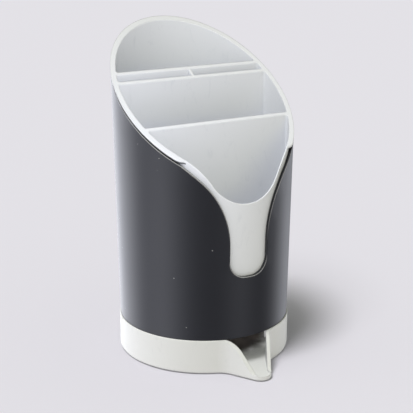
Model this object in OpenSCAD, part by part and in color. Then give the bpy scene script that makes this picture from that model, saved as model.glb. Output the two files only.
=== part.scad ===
// Cutlery drainer: drip tray with a pouring spout, tapered sleeve and divided cutlery holder.
// Millimetres, Z up, the spout and the front scoop point to -Y, the tray's pads stand on Z = 0.
// The origin is under the middle of the whole object, so the round body's axis is a little behind it.

/* [Body] */
// Outside radius of the sleeve at its foot
sleeve_foot_r = 56; // [50:0.5:64]
// Outward draft of the sleeve and holder walls, in degrees
wall_draft = 1; // [0.4:0.1:1.8]
// Height of the slanted rim on the axis
rim_mid_z = 169.6; // [160:0.5:190]
// Slant of the rim from level, in degrees
rim_slant = 36.4; // [32:0.2:38]

/* [Drip tray] */
// Height of the tray from its lower edge to the seat of the sleeve
tray_h = 22.2; // [19:0.2:28]
// How far the tray stands out past the sleeve's foot
tray_proud = 0.6; // [0.3:0.1:1.5]
// Thickness of the tray's wall
tray_wall = 2.4; // [1.8:0.1:3]
// Thickness of the tray's floor
tray_floor = 2; // [1.5:0.1:3]
// Fall of the tray's floor towards the spout, in degrees
floor_fall = 3; // [1:0.5:5]
// Rounding along the tray's lower edge
tray_round = 1.2; // [0.6:0.1:2]
// Rounding along the tray's upper edge
tray_top_round = 0.4; // [0.2:0.1:0.5]
// Height of the collar that stands inside the sleeve's foot
collar_h = 4; // [2:0.5:8]
// Thickness of the collar
collar_wall = 1.4; // [1:0.1:2.5]
// Radial clearance between the collar and the sleeve
collar_clear = 0.4; // [0.2:0.1:0.8]
// Number of stiffening ribs under the tray's floor
rib_count = 8; // [4:4:16]
// Thickness of the stiffening ribs
rib_t = 1.6; // [1:0.2:2.4]

/* [Spout] */
// Reach of the spout's tip from the axis
spout_reach = 77.2; // [74:0.2:84]
// Radius of the spout's nose, seen from above
nose_r = 7.2; // [6:0.2:9]
// Angle of each flank to the spout's centre line, in degrees
flank_angle = 29; // [24:1:34]
// Radius of the blend from the tray's wall into a flank
flank_blend = 14; // [8:1:20]
// Height of the flanks' ends above the tray's lower edge
lip_h = 3.6; // [3:0.2:7]
// Depth of the channel at the lip
lip_depth = 0.8; // [0.4:0.1:1.5]
// Distance behind the tray's front at which its edge starts to dip
dip_back = 5.8; // [0:0.2:7]
// Radius of the shoulder where the edge dips
dip_r = 15.5; // [8:0.5:17]
// Steepest angle of the dipping edge, in degrees
dip_angle = 56; // [50:1:66]
// Radius where the dipping edge runs out onto the lip
lip_blend = 3; // [2:0.5:6]

/* [Sleeve] */
// Thickness of the sleeve's wall
sleeve_wall = 1.6; // [1.4:0.1:2.6]
// Gap between the sleeve's slanted edge and the flange above it
rim_gap = 0.9; // [0.3:0.1:1]
// Height of the ledge that carries the holder above the collar
ledge_rise = 0.6; // [0.4:0.2:3]
// Thickness of the ledge
ledge_t = 2; // [1.5:0.1:3]
// Width of the ledge
ledge_w = 4.2; // [3.8:0.2:6]
// Height of the lower end of the front window
window_z = 63.4; // [50:0.5:75]
// Width of the window's straight part
window_w = 27; // [22:0.5:34]
// Radius of the window's lower corners
window_corner = 11; // [6:0.5:11]
// Height at which the window starts to flare
window_flare_z = 84.6; // [80:0.5:95]
// Radius of the flare
window_flare_r = 60; // [45:1:65]
// Angle of the flare where it runs out straight, in degrees
window_flare_angle = 45; // [40:1:48]

/* [Cutlery holder] */
// Radial clearance between the holder and the sleeve
holder_clear = 0.4; // [0.3:0.1:1]
// Thickness of the holder's wall
holder_wall = 1.1; // [1:0.1:2]
// Thickness of the holder's floor
holder_floor = 2; // [1.5:0.1:3]
// Rounding under the holder's floor
holder_round = 2; // [1:0.1:2.4]
// Thickness of the flange, square to the slanted rim
flange_t = 1.4; // [1:0.1:2.2]
// How far the flange stands out past the sleeve
flange_over = 0.2; // [0:0.1:1]
// Angle from the front at which the flange is full, in degrees
flange_full = 48.5; // [46:0.5:56]
// Radius of the two bends that end the flange
flange_bend = 9; // [6:0.5:12]
// Height of the lowest point of the scoop
scoop_z = 110.1; // [104:0.5:116]
// Radius of the scoop's bowl
scoop_r = 27; // [22:0.5:30]
// Steepest angle of the scoop's sides, in degrees
scoop_angle = 59; // [54:1:62]
// Radius of the scoop's shoulders
scoop_shoulder_r = 60; // [45:1:65]
// Thickness of the dividers
divider_t = 1.8; // [1.2:0.1:2.4]
// Distance of the front divider in front of the axis
front_divider = 19.6; // [12:0.2:24]
// Distance of the knife slots' front divider behind the axis
slot_front = 12.6; // [6:0.2:16]
// Clear width of the knife slots
slot_w = 4.8; // [4.6:0.1:9]
// Radius of the fillets where the dividers meet the wall
divider_fillet = 1.2; // [1:0.2:3]
// Diameter of the drain holes
drain_d = 6; // [4:0.5:7]
// Distance between the drain holes
drain_pitch = 11; // [10:0.5:16]
// Diameter of the drain holes in the knife slots
slot_drain_d = 3.2; // [2:0.2:3.6]

/* [Feet] */
// Radius of the non-slip pads
foot_r = 5.5; // [4:0.5:7]
// Thickness of the pads
foot_t = 2; // [1.4:0.1:2.2]
// How far the pads stand out under the tray
foot_proud = 0.6; // [0.4:0.1:1]
// Distance of the pads from the axis
foot_circle_r = 42; // [36:0.5:43]
// Radial clearance of the pads in their sockets
foot_clear = 0.2; // [0.1:0.05:0.4]
// Wall round the pads' sockets
foot_socket_wall = 1.6; // [1.2:0.1:2.4]

/* [Hidden] */
$fn = 96;

pale = "#d9dad6";
slate = "#3f4147";
pad_grey = "#5b5d61";
eps = 0.01;
// pieces that meet at a tangent reach this far into each other
hair = 0.02;
big = 400;

// heights that the pieces share
tray_z0 = foot_proud;
seat_z = tray_z0 + tray_h;
ledge_z = seat_z + collar_h + ledge_rise;
holder_z = ledge_z + ledge_t;
draft_rise = tan(wall_draft);
rim_rise = tan(rim_slant);
body_top = rim_mid_z + rim_rise * (sleeve_foot_r + 10) + 10;
// slanted cuts are lowered along Z by these amounts
flange_drop = flange_t / cos(rim_slant);
sleeve_drop = flange_drop + rim_gap / cos(rim_slant);
// steps inward from the sleeve's outer face
holder_in = sleeve_wall + holder_clear;
cavity_in = holder_in + holder_wall;

// outer radius of the sleeve at height z
function sleeve_r(z) = sleeve_foot_r + (z - seat_z) * draft_rise;
function polar(r, a) = [r * cos(a), r * sin(a)];

// tray and spout outline
tray_r = sleeve_foot_r + tray_proud;
nose_y = spout_reach - nose_r;
flank_n = polar(1, -flank_angle);
flank_off = sin(flank_angle) * nose_y + nose_r;
blend_turn = flank_angle + acos((flank_off + flank_blend) / (tray_r + flank_blend));
blend_at = polar(tray_r + flank_blend, -blend_turn);

// dipping edge of the spout, in (y, z)
lip_z = tray_z0 + lip_h;
dip_y = -(tray_r - dip_back);
dip_n = [-sin(dip_angle), cos(dip_angle)];
dip_at = [dip_y, seat_z - dip_r];
dip_end = dip_at + dip_r * dip_n;
lip_y = (cos(dip_angle) * (lip_z + lip_blend) - dip_end * dip_n - lip_blend) / sin(dip_angle);
lip_at = [lip_y, lip_z + lip_blend];
dip_foot = lip_at - lip_blend * dip_n;

// places of the three long dividers
slot_rear = slot_front + slot_w + divider_t;
divider_ys = [-front_divider, slot_front, slot_rear];
// drain holes stay inside the ledge that carries the holder
drain_r = sleeve_r(ledge_z) - sleeve_wall - ledge_w - 1;

// furthest reach of the flange behind the axis, and the axis' place that centres the object on the origin
rear_reach = (sleeve_r(rim_mid_z) + flange_over) / (1 - rim_rise * draft_rise);
axis_y = (spout_reach - rear_reach) / 2;

// tapered solid that follows the sleeve's outer face, moved inward by step
module taper(z_low, z_high, step) {
    translate([0, 0, z_low])
        cylinder(h = z_high - z_low, r1 = sleeve_r(z_low) - step, r2 = sleeve_r(z_high) - step);
}

// everything above the slanted rim, lowered by drop
module above_rim(drop) {
    translate([0, 0, rim_mid_z - drop]) rotate([rim_slant, 0, 0])
        translate([-big, -big, 0]) cube([2 * big, 2 * big, big]);
}

// everything below the slanted rim, lowered by drop
module below_rim(drop) {
    translate([0, 0, rim_mid_z - drop]) rotate([rim_slant, 0, 0])
        translate([-big, -big, -big]) cube([2 * big, 2 * big, big]);
}

// cut through the front from a shape drawn in (x, z), as far back as y_back
module front_cut(y_back) {
    translate([0, y_back, 0]) rotate([90, 0, 0]) linear_extrude(big) children();
}

// moves a piece that is drawn round the Z axis onto the body's own axis
module on_axis() {
    translate([0, axis_y, 0]) children();
}

// the same piece on both sides of the spout's centre line
module both_sides() {
    children();
    mirror([1, 0, 0]) children();
}

// Drip tray

// block with the outline of tray and spout, moved inward by step
module tray_block(step, z, h) {
    edge = (nose_r - step - hair) * flank_n;
    run = blend_at - (flank_blend + step) * flank_n;
    root = (tray_r - step) * polar(1, -blend_turn);
    translate([0, 0, z]) {
        cylinder(h = h, r = tray_r - step);
        translate([0, -nose_y, 0]) cylinder(h = h, r = nose_r - step);
        linear_extrude(h) polygon([[0, 0], [-run[0], run[1]], [-edge[0], edge[1] - nose_y],
            [edge[0], edge[1] - nose_y], run]);
        both_sides() difference() {
            linear_extrude(h) polygon([root, run, [-nose_r, -nose_y / 2]]);
            translate([blend_at[0], blend_at[1], -1]) cylinder(h = h + 2, r = flank_blend + step + hair);
        }
    }
}

// wedge under or over the tray's sloped floor
module floor_side(lower_by, up) {
    z_lip = lip_z - lip_depth - lower_by;
    translate([0, lip_y, z_lip]) rotate([floor_fall, 0, 0])
        translate([-big, -big, up ? 0 : -big]) cube([2 * big, 2 * big, big]);
}

// edge cutter in (u, z) with two facets: the edge is at the origin, the piece lies at u < 0, z > 0
module round_cut(r) {
    corner = r * (1 - cos(45) / cos(22.5));
    past = 1;
    run = (corner + past) / tan(22.5);
    polygon([[-corner - run, -past], [past, -past], [past, corner + run], [-corner, corner]]);
}

// rounds the lower edge along ring, blends, flanks and nose
// a cutter that laps over the next one is a hair shallower
module tray_under_round() {
    run = blend_at - flank_blend * flank_n;
    edge = nose_r * flank_n + [0, -nose_y];
    flank_l = norm(run - edge);
    lap_l = 0.4;
    lap_turn = 2;
    translate([0, 0, tray_z0]) {
        rotate([0, 0, -blend_turn]) rotate_extrude(angle = 180 + 2 * blend_turn)
            translate([tray_r, 0]) round_cut(tray_round);
        translate([0, -nose_y, 0]) rotate([0, 0, flank_angle - 180])
            rotate_extrude(angle = 180 - 2 * flank_angle) translate([nose_r, 0]) round_cut(tray_round);
        both_sides() {
            translate([edge[0], edge[1], 0]) rotate([0, 0, -flank_angle]) rotate([90, 0, 180])
                translate([-hair, 0, -lap_l]) linear_extrude(flank_l + lap_l)
                    mirror([1, 0]) round_cut(tray_round);
            translate([blend_at[0], blend_at[1], 0]) rotate([0, 0, 180 - blend_turn - lap_turn])
                rotate_extrude(angle = blend_turn - flank_angle + 2 * lap_turn)
                    translate([flank_blend - 2 * hair, 0]) mirror([1, 0]) round_cut(tray_round);
        }
    }
}

// part above the spout's dipping edge, drawn in (y, z) and run across the spout
module dip_cut() {
    rotate([90, 0, 90]) translate([0, 0, -tray_r]) {
        difference() {
            linear_extrude(2 * tray_r) polygon([[dip_y, seat_z], dip_end, dip_foot, [lip_y, lip_z],
                [-2 * spout_reach, lip_z], [-2 * spout_reach, 2 * seat_z], [dip_y, 2 * seat_z]]);
            translate([dip_at[0], dip_at[1], -1]) cylinder(h = 2 * tray_r + 2, r = dip_r + hair);
        }
        translate([lip_at[0], lip_at[1], 0]) cylinder(h = 2 * tray_r, r = lip_blend + hair);
    }
}

// seat ring and collar for the sleeve's foot, left open over the spout
module tray_collar() {
    collar_r = sleeve_foot_r - sleeve_wall - collar_clear;
    inner_r = collar_r - collar_wall;
    deep = seat_z - 4;
    difference() {
        rotate_extrude() polygon([
            [inner_r, deep],
            [tray_r - tray_wall + eps, deep - (tray_r - tray_wall - inner_r)],
            [tray_r - tray_wall + eps, seat_z],
            [collar_r, seat_z],
            [collar_r, seat_z + collar_h],
            [inner_r, seat_z + collar_h]
        ]);
        spout_channel();
    }
}

// clear way from the tray's middle out through the spout
module spout_channel() {
    half = nose_r - tray_wall;
    widen = tan(flank_angle);
    tip_y = -spout_reach - 5;
    root_half = half + (nose_y - 20) * widen;
    translate([0, 0, lip_z - lip_depth]) linear_extrude(big)
        polygon([[-root_half, -20], [-half, -nose_y], [-half, tip_y], [half, tip_y], [half, -nose_y],
            [root_half, -20]]);
}

module at_feet() {
    for (a = [45, 135, 225, 315]) rotate([0, 0, a]) translate([foot_circle_r, 0, 0]) children();
}

// bosses and ribs that hang from the floor
module tray_underside() {
    socket_r = foot_r + foot_clear + foot_socket_wall;
    at_feet() translate([0, 0, tray_z0]) cylinder(h = tray_h, r = socket_r);
    for (i = [0 : rib_count - 1]) rotate([0, 0, i * 360 / rib_count])
        translate([0, -rib_t / 2, tray_z0 + tray_round]) cube([tray_r - tray_wall / 2, rib_t, tray_h]);
}

module drip_tray() {
    color(pale) on_axis() {
        difference() {
            tray_block(0, tray_z0, tray_h);
            tray_under_round();
            translate([0, 0, seat_z]) mirror([0, 0, 1]) rotate([0, 0, -blend_turn])
                rotate_extrude(angle = 180 + 2 * blend_turn) translate([tray_r, 0]) round_cut(tray_top_round);
            intersection() {
                tray_block(tray_wall, -1, 2 * seat_z);
                floor_side(0, true);
            }
            intersection() {
                tray_block(tray_wall, -1, 2 * seat_z);
                floor_side(tray_floor, false);
            }
            intersection() {
                spout_channel();
                floor_side(0, true);
                translate([-big, -big - nose_y, 0]) cube([2 * big, big, big]);
            }
            dip_cut();
        }
        tray_collar();
        difference() {
            intersection() {
                tray_underside();
                floor_side(tray_floor / 2, false);
                translate([0, 0, tray_z0]) cylinder(h = tray_h, r = tray_r - tray_wall / 2);
            }
            at_feet() cylinder(h = foot_t, r = foot_r + foot_clear);
        }
    }
}

// Feet

module foot(a) {
    color(pad_grey) on_axis() rotate([0, 0, a]) translate([foot_circle_r, 0, 0])
        cylinder(h = foot_t, r = foot_r);
}

module foot_rear_right() {
    foot(45);
}

module foot_rear_left() {
    foot(135);
}

module foot_front_left() {
    foot(225);
}

module foot_front_right() {
    foot(315);
}

// Outer sleeve

// drop-shaped front window in (x, z), its flare running out over the slanted edge
module window_shape() {
    half = window_w / 2;
    flare_x = half + window_flare_r * (1 - cos(window_flare_angle));
    flare_z = window_flare_z + window_flare_r * sin(window_flare_angle);
    out = [cos(90 - window_flare_angle), sin(90 - window_flare_angle)] * big;
    translate([-half, window_z + window_corner])
        square([window_w, window_flare_z - window_z - window_corner + eps]);
    translate([window_corner - half, window_z])
        square([window_w - 2 * window_corner, window_corner + eps]);
    both_sides() translate([half - window_corner, window_z + window_corner]) circle(window_corner);
    difference() {
        polygon([[-half, window_flare_z], [half, window_flare_z], [flare_x, flare_z],
            [flare_x, flare_z] + out, [-flare_x - out[0], flare_z + out[1]], [-flare_x, flare_z]]);
        both_sides() translate([half + window_flare_r, window_flare_z]) circle(window_flare_r);
    }
}

module outer_sleeve() {
    ledge_out = sleeve_r(ledge_z) - sleeve_wall;
    color(slate) on_axis() {
        difference() {
            taper(seat_z, body_top, 0);
            taper(seat_z - 1, body_top + 1, sleeve_wall);
            above_rim(sleeve_drop);
            front_cut(-0.6 * sleeve_foot_r) window_shape();
        }
        translate([0, 0, ledge_z]) difference() {
            cylinder(h = ledge_t, r = ledge_out + sleeve_wall / 2);
            translate([0, 0, -1]) cylinder(h = ledge_t + 2, r = ledge_out - ledge_w);
        }
    }
}

// Cutlery holder

// half section of a tapered cup with a rounded lower edge
module cup_section(z_low, step, r) {
    foot = sleeve_r(z_low) - step;
    at = [foot + draft_rise * r - r / cos(wall_draft), z_low + r];
    polygon([[0, z_low], [at[0], z_low], at + r * [cos(wall_draft), -sin(wall_draft)],
        [sleeve_r(body_top) - step, body_top], [0, body_top]]);
    translate(at) circle(r);
}

module cup(z_low, step, r) {
    rotate_extrude() cup_section(z_low, step, r);
}

// scoop in the holder's front, in (x, z)
module scoop_shape() {
    side = [scoop_r * sin(scoop_angle), scoop_z + scoop_r * (1 - cos(scoop_angle))];
    at = side + scoop_shoulder_r * [sin(scoop_angle), -cos(scoop_angle)];
    run_out = 35;
    top = at + scoop_shoulder_r * [-sin(run_out), cos(run_out)];
    translate([0, scoop_z + scoop_r]) circle(scoop_r);
    difference() {
        polygon([[-side[0], side[1]], side, top, [top[0], big], [-top[0], big], [-top[0], top[1]]]);
        both_sides() translate(at) circle(scoop_shoulder_r + hair);
    }
}

// plan of the flange: full at the back and sides, ending in an S bend at each shoulder
module flange_plan() {
    z_end = rim_mid_z - rim_rise * sleeve_r(rim_mid_z) * cos(flange_full);
    // the bends reach a little past the flange's edge and into the wall, so that they cross them cleanly
    out_r = sleeve_r(z_end) + flange_over + 0.1;
    wall_r = sleeve_r(z_end) - holder_in - 0.3;
    far = out_r - flange_bend;
    near = wall_r + flange_bend;
    turn = acos((far * far + near * near - 4 * flange_bend * flange_bend) / (2 * far * near));
    a_full = flange_full - 90;
    a_none = a_full - turn;
    convex = polar(far, a_full);
    hollow = polar(near, a_none);
    difference() {
        union() {
            difference() {
                circle(big / 4);
                polygon([[0, 0], polar(big, a_full), [0, -2 * big], polar(big, -180 - a_full)]);
            }
            both_sides() {
                polygon([[0, 0], polar(out_r, a_full), (convex + hollow) / 2, polar(wall_r, a_none)]);
                translate(convex) circle(flange_bend);
            }
        }
        both_sides() translate(hollow) circle(flange_bend + hair);
    }
}

module flange() {
    difference() {
        intersection() {
            taper(holder_z, body_top, -flange_over);
            linear_extrude(big) flange_plan();
        }
        taper(holder_z - 1, body_top + 1, holder_in + holder_wall / 2);
        below_rim(flange_drop);
    }
}

// fillet column between a divider's face at y and the wall, leaning with the draft
module divider_fillet_at(y, toward) {
    reach = sleeve_r(rim_mid_z + rim_rise * y) - cavity_in;
    face = y + toward * divider_t / 2;
    x = sqrt(pow(reach - divider_fillet, 2) - pow(face + toward * divider_fillet, 2));
    hub = [x, face + toward * divider_fillet];
    foot_r_low = sleeve_r(holder_z) - cavity_in;
    lean = atan((reach - foot_r_low) / (rim_mid_z + rim_rise * y - holder_z));
    swing = atan2(hub[1], hub[0]);
    both_sides() translate([hub[0], hub[1], rim_mid_z + rim_rise * y])
        rotate([0, 0, swing]) rotate([0, lean, 0]) rotate([0, 0, -swing])
        translate([0, 0, -big]) linear_extrude(big + 20) difference() {
            polygon([[0, 0], [0, -toward * (divider_fillet + divider_t / 2)],
                [3 * divider_fillet, -toward * (divider_fillet + divider_t / 2)],
                polar(2 * divider_fillet, swing)]);
            circle(divider_fillet);
        }
}

module dividers() {
    intersection() {
        cup(holder_z + holder_floor / 2, cavity_in - holder_wall / 2, holder_round);
        union() {
            for (y = divider_ys)
                translate([-big, y - divider_t / 2, 0]) cube([2 * big, divider_t, big]);
            translate([-divider_t / 2, slot_front, 0]) cube([divider_t, slot_w + divider_t, big]);
            for (y = divider_ys) {
                divider_fillet_at(y, 1);
                divider_fillet_at(y, -1);
            }
        }
    }
}

// rows of drain holes between two walls of a compartment
module drain_rows(y_low, y_high, d) {
    rows = max(0, floor((y_high - y_low - d - 1) / drain_pitch));
    first = (y_low + y_high) / 2 - rows * drain_pitch / 2;
    reach = drain_r - d / 2;
    for (i = [0 : rows]) {
        y = first + i * drain_pitch;
        half = abs(y) < reach ? sqrt(reach * reach - y * y) : 0;
        both_sides() for (x = [drain_pitch / 2 : drain_pitch : half])
            translate([x, y, holder_z - 1]) cylinder(h = holder_floor + 2, d = d);
    }
}

module drain_holes() {
    half_t = divider_t / 2;
    drain_rows(-drain_r, -front_divider - half_t, drain_d);
    drain_rows(half_t - front_divider, slot_front - half_t, drain_d);
    drain_rows(slot_front + half_t, slot_rear - half_t, slot_drain_d);
    drain_rows(slot_rear + half_t, drain_r, drain_d);
}

module cutlery_holder() {
    color(pale) on_axis() difference() {
        union() {
            difference() {
                cup(holder_z, holder_in, holder_round);
                cup(holder_z + holder_floor, cavity_in, holder_round);
            }
            dividers();
            flange();
        }
        above_rim(0);
        front_cut(-sleeve_foot_r / 2 - 2) scoop_shape();
        drain_holes();
    }
}

drip_tray();
outer_sleeve();
cutlery_holder();
foot_front_left();
foot_front_right();
foot_rear_left();
foot_rear_right();
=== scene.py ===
import math

import bmesh
import bpy
from mathutils import Matrix, Vector


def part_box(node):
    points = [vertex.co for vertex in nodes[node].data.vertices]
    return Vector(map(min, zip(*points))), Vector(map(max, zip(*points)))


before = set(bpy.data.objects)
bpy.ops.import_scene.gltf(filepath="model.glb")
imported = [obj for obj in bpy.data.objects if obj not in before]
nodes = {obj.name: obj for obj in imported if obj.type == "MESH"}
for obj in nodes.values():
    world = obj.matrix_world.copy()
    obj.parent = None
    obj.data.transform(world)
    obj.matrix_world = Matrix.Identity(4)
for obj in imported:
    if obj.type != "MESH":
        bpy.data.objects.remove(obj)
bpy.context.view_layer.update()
mm = 0.001

feet = [n for n in nodes if n.startswith("foot_")]
axisY = sum(sum(c.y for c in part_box(n)) / 2 for n in feet) / len(feet)  # the round body's axis
print("frame loaded, body axis at y = %.2f mm" % (axisY / mm))


# node helpers

def addNode(tree, kind, place=(0, 0), **values):
    node = tree.nodes.new(kind)
    node.location = place
    for name, value in values.items():
        setattr(node, name, value)
    return node


def setInputs(node, values):
    for name, value in values.items():
        node.inputs[name].default_value = value
    return node


def newGroup(name, inputs, outputs):
    group = bpy.data.node_groups.new(name, "ShaderNodeTree")
    for label, kind, value in inputs:
        socket = group.interface.new_socket(label, in_out="INPUT", socket_type=kind)
        socket.default_value = value
    for label, kind in outputs:
        group.interface.new_socket(label, in_out="OUTPUT", socket_type=kind)
    feed = addNode(group, "NodeGroupInput", (-900, 0))
    out = addNode(group, "NodeGroupOutput", (900, 0))
    return group, feed, out


def mathNode(tree, operation, place, a, b=None, clamp=False):
    node = addNode(tree, "ShaderNodeMath", place, operation=operation, use_clamp=clamp)
    for slot, value in enumerate((a, b)):
        if isinstance(value, (int, float)):
            node.inputs[slot].default_value = value
        elif value is not None:
            tree.links.new(value, node.inputs[slot])
    return node.outputs[0]


# shared effects

wallLimit = 0.3  # a face whose normal rises less than this is a wall
markGain = 5.0  # how sharp the water marks' edges are
noiseMiddle = 0.5


def makeMouldGrain():
    group, feed, out = newGroup("mouldGrain", [
        ("Grain Scale", "NodeSocketFloat", 2500.0),
        ("Cloud Scale", "NodeSocketFloat", 30.0),
    ], [("Height", "NodeSocketFloat"), ("Cloud", "NodeSocketFloat")])
    link = group.links.new
    place = addNode(group, "ShaderNodeTexCoord", (-900, -250))
    grain = addNode(group, "ShaderNodeTexNoise", (-500, 150))
    setInputs(grain, {"Detail": 3.0, "Roughness": 0.6})
    cloud = addNode(group, "ShaderNodeTexNoise", (-500, -200))
    setInputs(cloud, {"Detail": 4.0, "Roughness": 0.55, "Distortion": 0.4})
    for noise, scale in ((grain, "Grain Scale"), (cloud, "Cloud Scale")):
        link(place.outputs["Object"], noise.inputs["Vector"])
        link(feed.outputs[scale], noise.inputs["Scale"])
    link(grain.outputs["Fac"], out.inputs["Height"])
    link(cloud.outputs["Fac"], out.inputs["Cloud"])
    return group


# painted light on edges: Upper masks a painted highlight along upper edges, Lower masks painted shade under
# lower edges; Normal is the bevel's rounded normal
def makeEdgeLightShade():
    group, feed, out = newGroup("edgeLightShade", [
        ("Radius", "NodeSocketFloat", 0.0006),
        ("Gain", "NodeSocketFloat", 6.0),
    ], [("Upper", "NodeSocketFloat"), ("Lower", "NodeSocketFloat"), ("Normal", "NodeSocketVector")])
    link = group.links.new
    bevel = addNode(group, "ShaderNodeBevel", (-700, 100), samples=6)
    link(feed.outputs["Radius"], bevel.inputs["Radius"])
    face = addNode(group, "ShaderNodeNewGeometry", (-700, -150))
    heights = []
    for i, normal in enumerate((bevel.outputs["Normal"], face.outputs["Normal"])):
        split = addNode(group, "ShaderNodeSeparateXYZ", (-500, 100 - 250 * i))
        link(normal, split.inputs[0])
        heights.append(split.outputs["Z"])
    upright = mathNode(group, "LESS_THAN", (-250, -300), heights[1], wallLimit)  # walls only, not the lands
    for name, a, b, y in (("Upper", 0, 1, 200), ("Lower", 1, 0, 0)):
        lean = mathNode(group, "SUBTRACT", (-250, y), heights[a], heights[b])
        lean = mathNode(group, "MULTIPLY", (0, y), lean, feed.outputs["Gain"], clamp=True)
        link(mathNode(group, "MULTIPLY", (250, y), lean, upright), out.inputs[name])
    link(bevel.outputs["Normal"], out.inputs["Normal"])
    return group


# mask of faces turned to the given axis, for painted shade on the rim's face
def makeLandShading():
    group, feed, out = newGroup("landShading", [
        ("Axis", "NodeSocketVector", (0.0, 0.0, 1.0)),
        ("Limit", "NodeSocketFloat", 0.98),
    ], [("Mask", "NodeSocketFloat")])
    face = addNode(group, "ShaderNodeNewGeometry", (-500, 0))
    dot = addNode(group, "ShaderNodeVectorMath", (-250, 0), operation="DOT_PRODUCT")
    group.links.new(face.outputs["Normal"], dot.inputs[0])
    group.links.new(feed.outputs["Axis"], dot.inputs[1])
    facing = mathNode(group, "GREATER_THAN", (0, 0), dot.outputs["Value"], feed.outputs["Limit"])
    group.links.new(facing, out.inputs["Mask"])
    return group


def makeWaterMarks():
    group, feed, out = newGroup("waterMarks", [
        ("Scale", "NodeSocketFloat", 55.0),
        ("Threshold", "NodeSocketFloat", 0.62),
    ], [("Mask", "NodeSocketFloat")])
    link = group.links.new
    place = addNode(group, "ShaderNodeTexCoord", (-900, -250))
    stretch = addNode(group, "ShaderNodeMapping", (-700, -250))
    stretch.inputs["Scale"].default_value = (1.0, 1.0, 0.45)  # marks run down the walls
    blotch = addNode(group, "ShaderNodeTexNoise", (-450, 0))
    setInputs(blotch, {"Detail": 6.0, "Roughness": 0.68, "Distortion": 1.2})
    link(place.outputs["Object"], stretch.inputs["Vector"])
    link(stretch.outputs["Vector"], blotch.inputs["Vector"])
    link(feed.outputs["Scale"], blotch.inputs["Scale"])
    over = mathNode(group, "SUBTRACT", (-150, 0), blotch.outputs["Fac"], feed.outputs["Threshold"])
    link(mathNode(group, "MULTIPLY", (100, 0), over, markGain, clamp=True), out.inputs["Mask"])
    return group


def makeDustSpecks():
    group, feed, out = newGroup("dustSpecks", [
        ("Scale", "NodeSocketFloat", 90.0),
        ("Size", "NodeSocketFloat", 0.03),
        ("Share", "NodeSocketFloat", 0.2),
    ], [("Mask", "NodeSocketFloat")])
    link = group.links.new
    place = addNode(group, "ShaderNodeTexCoord", (-900, -250))
    cells = addNode(group, "ShaderNodeTexVoronoi", (-500, 0))
    link(place.outputs["Object"], cells.inputs["Vector"])
    link(feed.outputs["Scale"], cells.inputs["Scale"])
    pick = addNode(group, "ShaderNodeSeparateColor", (-250, -150))
    link(cells.outputs["Color"], pick.inputs["Color"])
    near = mathNode(group, "LESS_THAN", (-250, 50), cells.outputs["Distance"], feed.outputs["Size"])
    few = mathNode(group, "LESS_THAN", (0, -150), pick.outputs["Red"], feed.outputs["Share"])
    link(mathNode(group, "MULTIPLY", (250, 0), near, few), out.inputs["Mask"])
    return group


# mask of narrow gaps from ambient occlusion, for painted shade between parts
def makeGapShading():
    group, feed, out = newGroup("gapShading", [
        ("Depth", "NodeSocketFloat", 0.0025),
        ("Limit", "NodeSocketFloat", 0.35),
        ("Gain", "NodeSocketFloat", 6.0),
    ], [("Mask", "NodeSocketFloat")])
    openness = addNode(group, "ShaderNodeAmbientOcclusion", (-500, 0), samples=8)
    group.links.new(feed.outputs["Depth"], openness.inputs["Distance"])
    under = mathNode(group, "SUBTRACT", (-200, 0), feed.outputs["Limit"], openness.outputs["AO"])
    gapShadeMask = mathNode(group, "MULTIPLY", (100, 0), under, feed.outputs["Gain"], clamp=True)
    group.links.new(gapShadeMask, out.inputs["Mask"])
    return group


# mask that grows towards the middle of the basin, for painted shade under the sleeve
def makeBasinShading():
    group, feed, out = newGroup("basinShading", [
        ("Centre", "NodeSocketVector", (0.0, 0.0, 0.0)),
        ("Inner", "NodeSocketFloat", 0.02),
        ("Outer", "NodeSocketFloat", 0.045),
        ("Ripple", "NodeSocketFloat", 0.01),
    ], [("Mask", "NodeSocketFloat")])
    link = group.links.new
    place = addNode(group, "ShaderNodeTexCoord", (-900, -200))
    off = addNode(group, "ShaderNodeVectorMath", (-700, -100), operation="SUBTRACT")
    link(place.outputs["Object"], off.inputs[0])
    link(feed.outputs["Centre"], off.inputs[1])
    flat = addNode(group, "ShaderNodeVectorMath", (-500, -100), operation="MULTIPLY")
    flat.inputs[1].default_value = (1.0, 1.0, 0.0)  # the height drops out
    link(off.outputs[0], flat.inputs[0])
    radius = addNode(group, "ShaderNodeVectorMath", (-300, -100), operation="LENGTH")
    link(flat.outputs[0], radius.inputs[0])
    ramp = addNode(group, "ShaderNodeMapRange", (0, 0), interpolation_type="SMOOTHSTEP")
    setInputs(ramp, {"To Min": 1.0, "To Max": 0.0})
    wave = addNode(group, "ShaderNodeTexNoise", (-500, -300))
    setInputs(wave, {"Scale": 80.0, "Detail": 6.0, "Roughness": 0.65})
    link(place.outputs["Object"], wave.inputs["Vector"])
    shift = mathNode(group, "SUBTRACT", (-300, -300), wave.outputs["Fac"], noiseMiddle)
    shift = mathNode(group, "MULTIPLY", (-150, -300), shift, feed.outputs["Ripple"])
    link(mathNode(group, "ADD", (-100, -100), radius.outputs["Value"], shift), ramp.inputs["Value"])
    link(feed.outputs["Inner"], ramp.inputs["From Min"])
    link(feed.outputs["Outer"], ramp.inputs["From Max"])
    link(ramp.outputs["Result"], out.inputs["Mask"])
    return group


mouldGrain = makeMouldGrain()
edgeLightShade = makeEdgeLightShade()
landShading = makeLandShading()
waterMarks = makeWaterMarks()
dustSpecks = makeDustSpecks()
gapShading = makeGapShading()
basinShading = makeBasinShading()
print("shared effects ready")


# materials

# the Mix node's names repeat for each type, so its sockets go by number
colourSockets = {"a": 6, "b": 7, "result": 2}
vectorSockets = {"a": 4, "b": 5, "result": 1}


def useGroup(tree, group, place, values):
    node = addNode(tree, "ShaderNodeGroup", place, node_tree=group)
    return setInputs(node, values)


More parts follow.
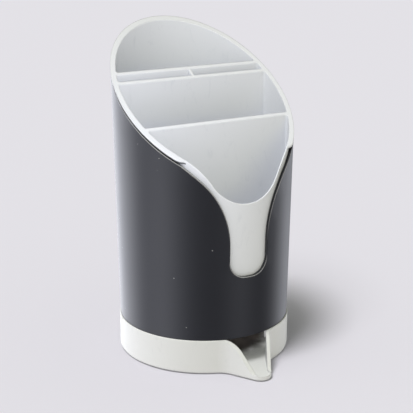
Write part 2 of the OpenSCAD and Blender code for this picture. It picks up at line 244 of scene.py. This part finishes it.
def mixColour(tree, place, mask, a, b, amount):
    mix = addNode(tree, "ShaderNodeMix", place, data_type="RGBA")
    share = mathNode(tree, "MULTIPLY", (place[0] - 180, place[1] - 160), mask, amount)
    tree.links.new(share, mix.inputs["Factor"])
    for value, slot in ((a, "a"), (b, "b")):
        socket = mix.inputs[colourSockets[slot]]
        if isinstance(value, (tuple, list)):
            socket.default_value = (*value, 1.0)
        else:
            tree.links.new(value, socket)
    return mix.outputs[colourSockets["result"]]


def moulded(name, look):
    material = bpy.data.materials.new(name)
    material.use_nodes = True
    tree = material.node_tree
    link = tree.links.new
    shader = tree.nodes["Principled BSDF"]
    shader.location = (1250, 0)
    setInputs(shader, {"IOR": look["ior"], "Specular IOR Level": look["specular"]})
    scales = {"Grain Scale": look["grainScale"], "Cloud Scale": look["cloudScale"]}
    grain = useGroup(tree, mouldGrain, (-700, 100), scales)
    rub = useGroup(tree, edgeLightShade, (-700, -150), {"Radius": look["edgeRadius"] * mm, "Gain": look["edgeLightingGain"]})
    colour = look["colour"]

    def layer(x, mask, effect):
        return mixColour(tree, (x, 300), mask, colour, look[effect + "Colour"], look[effect + "Amount"])

    colour = layer(-250, grain.outputs["Cloud"], "cloud")
    # upper edges get a painted highlight
    colour = layer(0, rub.outputs["Upper"], "rub")
    if "marks" in look:
        marks = useGroup(tree, waterMarks, (-700, 450), look["marks"])
        colour = layer(250, marks.outputs["Mask"], "marks")
    if "specks" in look:
        specks = useGroup(tree, dustSpecks, (-700, 650), look["specks"])
        colour = layer(250, specks.outputs["Mask"], "specks")
    # painted shade: darker rim face, darker under lower edges and in narrow gaps
    if "gapShade" in look:
        gapShade = useGroup(tree, gapShading, (-700, 850), look["gapShade"])
        landShade = useGroup(tree, landShading, (-700, 1050), look["landShade"])
        colour = layer(500, landShade.outputs["Mask"], "landShade")
        colour = layer(750, rub.outputs["Lower"], "gapShade")
        colour = layer(1000, gapShade.outputs["Mask"], "gapShade")
    # painted shade: the basin darker towards the middle
    if "basinShade" in look:
        basinShade = useGroup(tree, basinShading, (-700, 850), look["basinShade"])
        colour = layer(500, basinShade.outputs["Mask"], "basinShade")
    link(colour, shader.inputs["Base Color"])
    rough = addNode(tree, "ShaderNodeMapRange", (-250, 0))
    setInputs(rough, {"To Min": look["roughness"][0], "To Max": look["roughness"][1]})
    link(grain.outputs["Cloud"], rough.inputs["Value"])
    link(rough.outputs["Result"], shader.inputs["Roughness"])
    bump = addNode(tree, "ShaderNodeBump", (250, -250))
    setInputs(bump, {"Strength": look["bump"], "Distance": look["bumpDepth"] * mm})
    link(grain.outputs["Height"], bump.inputs["Height"])
    link(rub.outputs["Normal"], bump.inputs["Normal"])
    link(bump.outputs["Normal"], shader.inputs["Normal"])
    return material


rimSlant = math.radians(36.4)  # as in the part's source

# depths, radii and places inside a group's own dictionary are in metres, the other lengths in mm
palePlastic = {
    "colour": (0.768, 0.776, 0.772),
    "cloudColour": (0.732, 0.743, 0.746),
    "cloudAmount": 0.35,
    "cloudScale": 28.0,
    # a lighter colour on upper edges: a painted highlight
    "rubColour": (0.80, 0.805, 0.79),
    "rubAmount": 0.35,
    "edgeLightingGain": 4.0,
    "edgeRadius": 0.8,
    "marks": {"Scale": 150.0, "Threshold": 0.57},
    "marksColour": (0.55, 0.57, 0.59),
    "marksAmount": 0.3,
    "roughness": (0.38, 0.5),
    "ior": 1.49,
    "specular": 0.25,
    "grainScale": 2200.0,
    "bump": 0.06,
    "bumpDepth": 0.12,
}

holderPlastic = {
    **palePlastic,
    "edgeRadius": 0.95,
    # upper edges painted much lighter: a painted highlight
    "edgeLightingGain": 5.0,
    "rubColour": (0.92, 0.92, 0.90),
    "rubAmount": 0.8,
    # near-black colour in narrow gaps and under lower edges: painted shade
    "gapShade": {"Depth": 0.003, "Limit": 0.5, "Gain": 6.0},
    "gapShadeColour": (0.02, 0.02, 0.022),
    "gapShadeAmount": 0.95,
    "landShade": {"Axis": (0.0, -math.sin(rimSlant), math.cos(rimSlant)), "Limit": 0.985},  # the rim's face, which gets painted shade
    # the rim's face painted darker: painted shade
    "landShadeColour": (0.69, 0.695, 0.685),
    "landShadeAmount": 1.0,
}

trayPlastic = {
    **palePlastic,
    "colour": (0.82, 0.825, 0.815),
    "cloudColour": (0.79, 0.797, 0.79),
    # the basin painted dark towards the middle: painted shade for the unlit channel under the sleeve
    "basinShade": {"Centre": (0, axisY, 0), "Inner": 0.037, "Outer": 0.05, "Ripple": 0.011},
    "basinShadeColour": (0.06, 0.049, 0.04),
    "basinShadeAmount": 1.0,
}

slatePlastic = {
    "colour": (0.017, 0.0175, 0.024),
    "cloudColour": (0.021, 0.022, 0.029),
    "cloudAmount": 0.5,
    "cloudScale": 22.0,
    # upper edges painted light: a painted highlight, strongest along the slanted top edge
    "rubColour": (0.6, 0.6, 0.61),
    "rubAmount": 1.0,
    "edgeLightingGain": 4.0,
    "edgeRadius": 1.1,
    "specks": {"Scale": 160.0, "Size": 0.05, "Share": 0.18},
    "specksColour": (0.5, 0.5, 0.5),
    "specksAmount": 0.8,
    "roughness": (0.30, 0.38),
    "ior": 1.5,
    "specular": 0.4,
    "grainScale": 2600.0,
    "bump": 0.08,
    "bumpDepth": 0.1,
}

padRubber = {
    "colour": (0.10, 0.10, 0.105),
    "cloudColour": (0.14, 0.14, 0.145),
    "cloudAmount": 0.6,
    "cloudScale": 120.0,
    # upper edges painted lighter: a painted highlight
    "rubColour": (0.2, 0.2, 0.2),
    "rubAmount": 0.4,
    "edgeLightingGain": 4.0,
    "edgeRadius": 0.3,
    "roughness": (0.7, 0.85),
    "ior": 1.5,
    "specular": 0.4,
    "grainScale": 1800.0,
    "bump": 0.25,
    "bumpDepth": 0.15,
}

holderMaterial = moulded("holderPlastic", holderPlastic)
trayMaterial = moulded("trayPlastic", trayPlastic)
slateMaterial = moulded("slatePlastic", slatePlastic)
padMaterial = moulded("padRubber", padRubber)


def dress(name, material):
    node = nodes[name]
    node.data.materials.clear()
    node.data.materials.append(material)


dress("drip_tray", trayMaterial)
nodes["drip_tray"].visible_diffuse = False  # its pale wall would brighten the floor beside it
dress("cutlery_holder", holderMaterial)
dress("outer_sleeve", slateMaterial)
for name in feet:
    dress(name, padMaterial)
print("materials on %d nodes" % len(nodes))


# camera at the photograph's place

# degrees, mm and, for the lens, the photograph's pixels
view = {
    "azimuth": -30.52,
    "pitch": 16.295,
    "distance": 691.8,
    "targetZ": 94.34,
    "right": 1.9,
    "focalPixels": 1048.64,
    "imagePixels": 413,
}


def makeCamera():
    turn, tilt = math.radians(view["azimuth"]), math.radians(view["pitch"])
    back = Vector((math.sin(turn) * math.cos(tilt), -math.cos(turn) * math.cos(tilt), math.sin(tilt)))
    right = Vector((math.cos(turn), math.sin(turn), 0))
    target = Vector((0, axisY, view["targetZ"] * mm)) + right * view["right"] * mm
    data = bpy.data.cameras.new("photoCamera")
    data.sensor_width = 36
    data.lens = view["focalPixels"] / view["imagePixels"] * data.sensor_width
    data.clip_start = 0.01
    camera = bpy.data.objects.new("photoCamera", data)
    bpy.context.scene.collection.objects.link(camera)
    place = Matrix.Translation(target + back * view["distance"] * mm)
    camera.matrix_world = place @ back.to_track_quat("Z", "Y").to_matrix().to_4x4()
    bpy.context.scene.camera = camera
    return back, right


towardCamera, rightward = makeCamera()
print("camera placed")


# floor and light

floorLook = {"colour": (0.88, 0.855, 0.93), "reach": 14.0, "roughness": 0.9}


def makeFloor():
    mesh = bpy.data.meshes.new("floor")
    shape = bmesh.new()
    bmesh.ops.create_grid(shape, x_segments=8, y_segments=8, size=floorLook["reach"])
    shape.to_mesh(mesh)
    shape.free()
    floor = bpy.data.objects.new("floor", mesh)
    bpy.context.scene.collection.objects.link(floor)
    material = bpy.data.materials.new("paleFloor")
    material.use_nodes = True
    shader = material.node_tree.nodes["Principled BSDF"]
    setInputs(shader, {
        "Base Color": (*floorLook["colour"], 1),
        "Roughness": floorLook["roughness"],
        "Specular IOR Level": 0.0,
    })
    mesh.materials.append(material)
    floor.visible_glossy = False  # the dome's lower half stands in for what the gloss sees


backdropGlow = (0.767, 0.752, 0.790)  # low views see the floor's tone beyond its edge
skyGlow = (0.25, 0.26, 0.23)
# light comes from turn degrees to the left of the camera and rise degrees up
# soft boxes for the gloss, below the horizon: broad at both sides, dark in front
softBoxes = {
    "rise": -16,
    "tint": (0.9, 0.92, 1.0),
    "boxes": [
        {"turn": 150, "focus": 8, "glow": 3.0},
        {"turn": 110, "focus": 14, "glow": 2.6},
        {"turn": 55, "focus": 9, "glow": 3.0},
        {"turn": 0, "focus": 8, "glow": 0.3},
        {"turn": -50, "focus": 16, "glow": 1.2},
        {"turn": -130, "focus": 10, "glow": 1.8},
    ],
}
white = (1.0, 1.0, 1.0)
warm = (1.0, 0.97, 0.65)
cool = (0.74, 0.77, 1.0)
# the fills stay off the floor, which keeps its even tone, and out of the gloss
lamps = [
    {"name": "keyFront", "turn": 35, "rise": 62, "angle": 24, "power": 0.6, "tint": white, "spares": []},
    {"name": "keyLeft", "turn": 42, "rise": 72, "angle": 16, "power": 1.25, "tint": white, "spares": []},
    {"name": "keyTop", "turn": 85, "rise": 80, "angle": 16, "power": 0.25, "tint": white, "spares": []},
    {
        "name": "fillFront", "turn": -30, "rise": 5, "angle": 50, "power": 0.7, "tint": warm,
        "spares": ["floor"],
    },
    {
        "name": "fillLeft", "turn": 105, "rise": 5, "angle": 50, "power": 2.0, "tint": white,
        "spares": ["floor", "cutlery_holder"],
    },
]
# shadowless lamps on the holder alone, in mm from the axis, which go up with it
bulbRadius = 30
innerLamps = [
    {"name": "innerFront", "left": 30, "front": 150, "up": 200, "power": 0.22, "tint": cool},
    {"name": "innerLeft", "left": 130, "front": 130, "up": 180, "power": 0.045, "tint": cool},
    {"name": "innerLow", "left": 30, "front": 220, "up": 100, "power": 0.04, "tint": cool},
    {"name": "innerHigh", "left": 30, "front": 120, "up": 270, "power": 0.11, "tint": cool},
    {"name": "innerRight", "left": -110, "front": 40, "up": 260, "power": 0.11, "tint": cool},
]


def fromTurn(turn, rise):
    a, b = math.radians(turn), math.radians(rise)
    flat = Vector((towardCamera.x, towardCamera.y, 0)).normalized()
    return (flat * math.cos(a) - rightward * math.sin(a)) * math.cos(b) + Vector((0, 0, math.sin(b)))


def addLamp(lamp, kind):
    data = bpy.data.lights.new(lamp["name"], kind)
    data.energy = lamp["power"]
    data.color = lamp["tint"]
    light = bpy.data.objects.new(lamp["name"], data)
    bpy.context.scene.collection.objects.link(light)
    return light


def linkLight(light, names, state):
    group = bpy.data.collections.new(light.name + "Link")
    for name in names:
        group.objects.link(bpy.data.objects[name])
    for member in group.collection_objects:
        member.light_linking.link_state = state
    light.light_linking.receiver_collection = group
    light.visible_glossy = False


def makeLamps():
    for lamp in lamps:
        sun = addLamp(lamp, "SUN")
        sun.data.angle = math.radians(lamp["angle"])
        shine = fromTurn(lamp["turn"], lamp["rise"])
        sun.matrix_world = shine.to_track_quat("Z", "Y").to_matrix().to_4x4()
        if lamp["spares"]:
            linkLight(sun, lamp["spares"], "EXCLUDE")
    for lamp in innerLamps:
        bulb = addLamp(lamp, "POINT")
        bulb.data.shadow_soft_size = bulbRadius * mm
        bulb.data.use_shadow = False
        aside = fromTurn(0, 0) * lamp["front"] + fromTurn(90, 0) * lamp["left"]
        bulb.location = Vector((0, axisY, 0)) + (aside + Vector((0, 0, lamp["up"]))) * mm
        linkLight(bulb, ["cutlery_holder"], "INCLUDE")
        bulb.parent = nodes["cutlery_holder"]
        bulb.matrix_parent_inverse = nodes["cutlery_holder"].matrix_world.inverted()


def softBoxSum(tree, towards):
    total = None
    for i, box in enumerate(softBoxes["boxes"]):
        y = -180 * i
        dot = addNode(tree, "ShaderNodeVectorMath", (-1300, y), operation="DOT_PRODUCT")
        dot.inputs[1].default_value = fromTurn(box["turn"], softBoxes["rise"])
        tree.links.new(towards, dot.inputs[0])
        fall = mathNode(tree, "SUBTRACT", (-1140, y), dot.outputs["Value"], 1.0)
        fall = mathNode(tree, "MULTIPLY", (-980, y), fall, box["focus"])
        fall = mathNode(tree, "EXPONENT", (-820, y), fall)
        glow = addNode(tree, "ShaderNodeVectorMath", (-660, y), operation="SCALE")
        glow.inputs[0].default_value = Vector(softBoxes["tint"]) * box["glow"]
        tree.links.new(fall, glow.inputs["Scale"])
        if total is None:
            total = glow.outputs[0]
        else:
            add = addNode(tree, "ShaderNodeVectorMath", (-500, y), operation="ADD")
            tree.links.new(total, add.inputs[0])
            tree.links.new(glow.outputs[0], add.inputs[1])
            total = add.outputs[0]
    return total


def makeDome():
    world = bpy.data.worlds.new("studioDome")
    bpy.context.scene.world = world
    world.use_nodes = True
    world.cycles.sampling_method = "NONE"
    tree = world.node_tree
    place = addNode(tree, "ShaderNodeTexCoord", (-1400, 0))
    towards = place.outputs["Generated"]
    height = addNode(tree, "ShaderNodeSeparateXYZ", (-600, 300))
    tree.links.new(towards, height.inputs[0])
    mix = addNode(tree, "ShaderNodeMix", (-200, 0), data_type="VECTOR")
    above = mathNode(tree, "GREATER_THAN", (-400, 300), height.outputs["Z"], 0.0)
    tree.links.new(above, mix.inputs["Factor"])
    tree.links.new(softBoxSum(tree, towards), mix.inputs[vectorSockets["a"]])
    mix.inputs[vectorSockets["b"]].default_value = skyGlow
    seen = addNode(tree, "ShaderNodeLightPath", (-200, 300))
    show = addNode(tree, "ShaderNodeMix", (0, 0), data_type="VECTOR")
    tree.links.new(seen.outputs["Is Camera Ray"], show.inputs["Factor"])
    tree.links.new(mix.outputs[vectorSockets["result"]], show.inputs[vectorSockets["a"]])
    show.inputs[vectorSockets["b"]].default_value = backdropGlow
    tree.links.new(show.outputs[vectorSockets["result"]], tree.nodes["Background"].inputs["Color"])


makeFloor()
makeDome()
makeLamps()
bpy.context.scene.view_settings.view_transform = "Standard"
print("floor and light ready")
